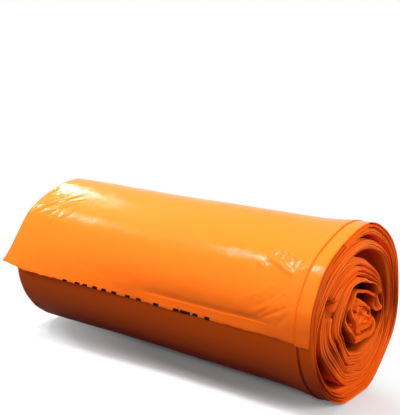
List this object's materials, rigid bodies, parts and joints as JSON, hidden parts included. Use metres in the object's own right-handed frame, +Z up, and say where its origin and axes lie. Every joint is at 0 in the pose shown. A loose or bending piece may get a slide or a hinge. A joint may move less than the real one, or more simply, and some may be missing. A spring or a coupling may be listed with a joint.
{
  "type": "bin bag roll",
  "caption": "Roll of orange film bin bags with no core, lying on its side, its perforated loose end lifted at one corner.",
  "frame": {"origin": "middle of the flat spot that the roll rests on, under its axis and halfway along it", "axes": "+X along the roll towards the end that shows its folded side edges, +Y to the back, +Z up; the loose end hangs at the front, -Y"},
  "size_m": [0.3032, 0.1474, 0.1288],
  "materials": {
    "film": "semi-gloss polyethylene film"
  },
  "bodies": {
    "root": {"bag_roll": "film"}
  },
  "joints": []
}
